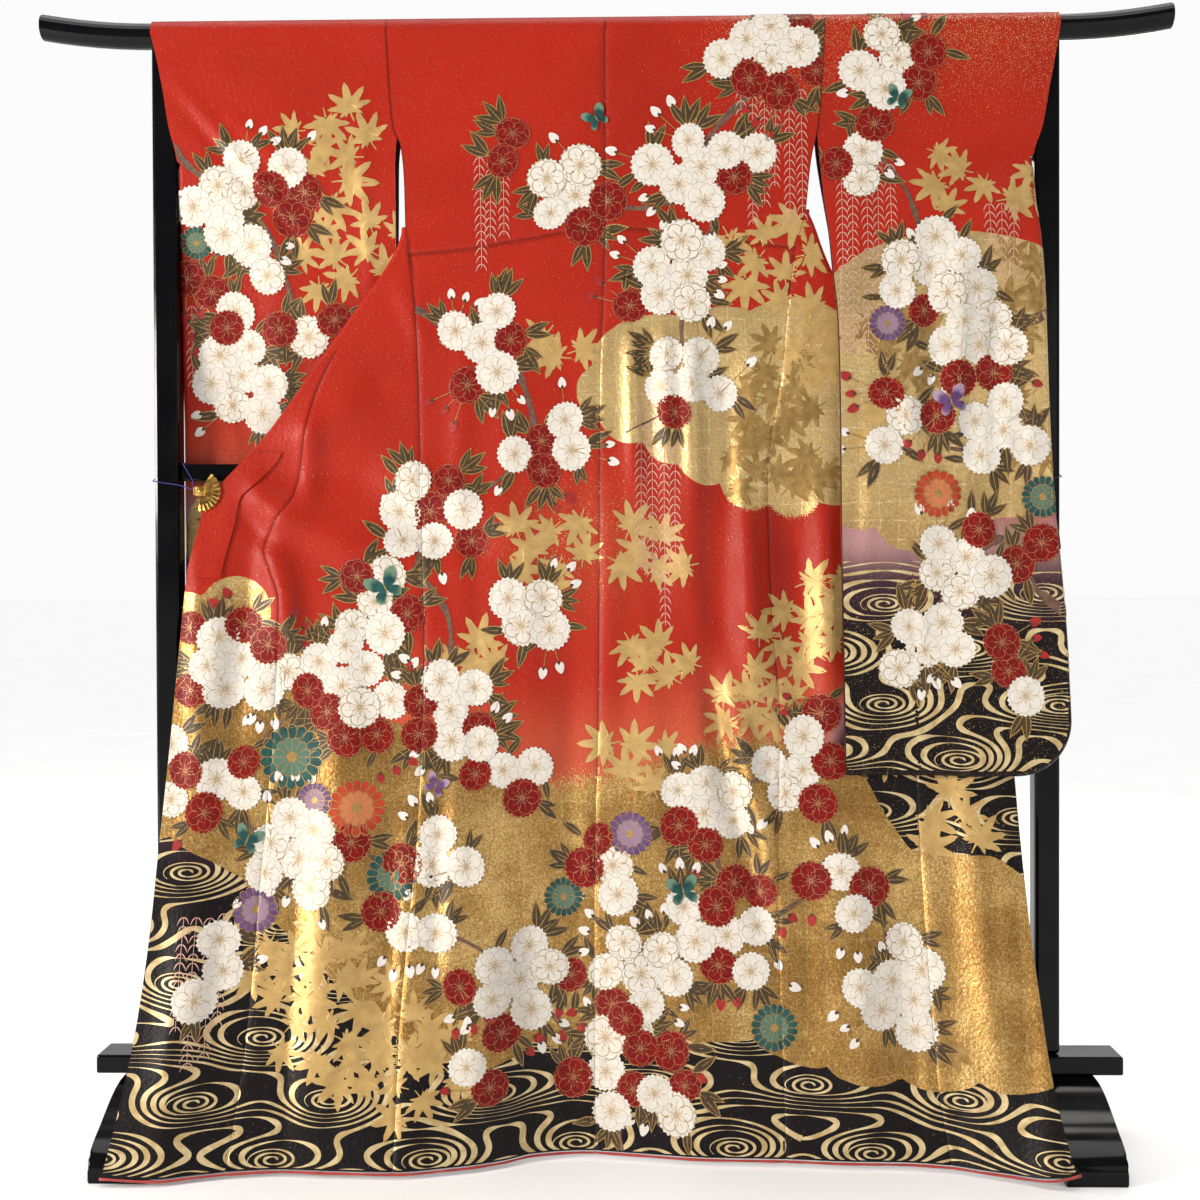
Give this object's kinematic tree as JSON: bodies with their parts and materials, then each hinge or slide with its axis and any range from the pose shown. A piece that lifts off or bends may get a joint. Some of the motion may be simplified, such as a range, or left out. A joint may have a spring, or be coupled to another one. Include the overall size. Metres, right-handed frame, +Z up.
{
  "type": "furisode kimono on a kimono stand",
  "caption": "Long-sleeved formal kimono spread flat over the round bar of a lacquered kimono stand, its back outwards and its hem fanned out over the feet.",
  "frame": {"origin": "on the floor, under the centre of the whole object's box", "axes": "+X along the stand to the right of a viewer who faces the garment's back, +Y away from that viewer, +Z up"},
  "size_m": [1.6288, 0.409, 1.6332],
  "materials": {
    "silk": "printed and gold-leafed silk, soft sheen",
    "lining": "plain lining silk",
    "lacquer": "black gloss lacquer on wood",
    "brass": "satin brass",
    "thread": "twisted thread"
  },
  "bodies": {
    "root": {"back_left": "silk", "back_right": "silk", "front_left": "silk", "front_right": "silk", "okumi_left": "silk", "okumi_right": "silk", "sleeve_left": "silk", "sleeve_right": "silk", "collar": "silk", "collar_end_left": "silk", "collar_end_right": "silk", "hem_roll": "lining", "top_bar": "lacquer", "post_left": "lacquer", "post_right": "lacquer", "middle_rail": "lacquer", "shelf_rail": "lacquer", "foot_left": "lacquer", "foot_right": "lacquer", "clip_left": "brass", "clip_right": "brass", "thread_left": "thread", "thread_right": "thread"}
  },
  "joints": []
}
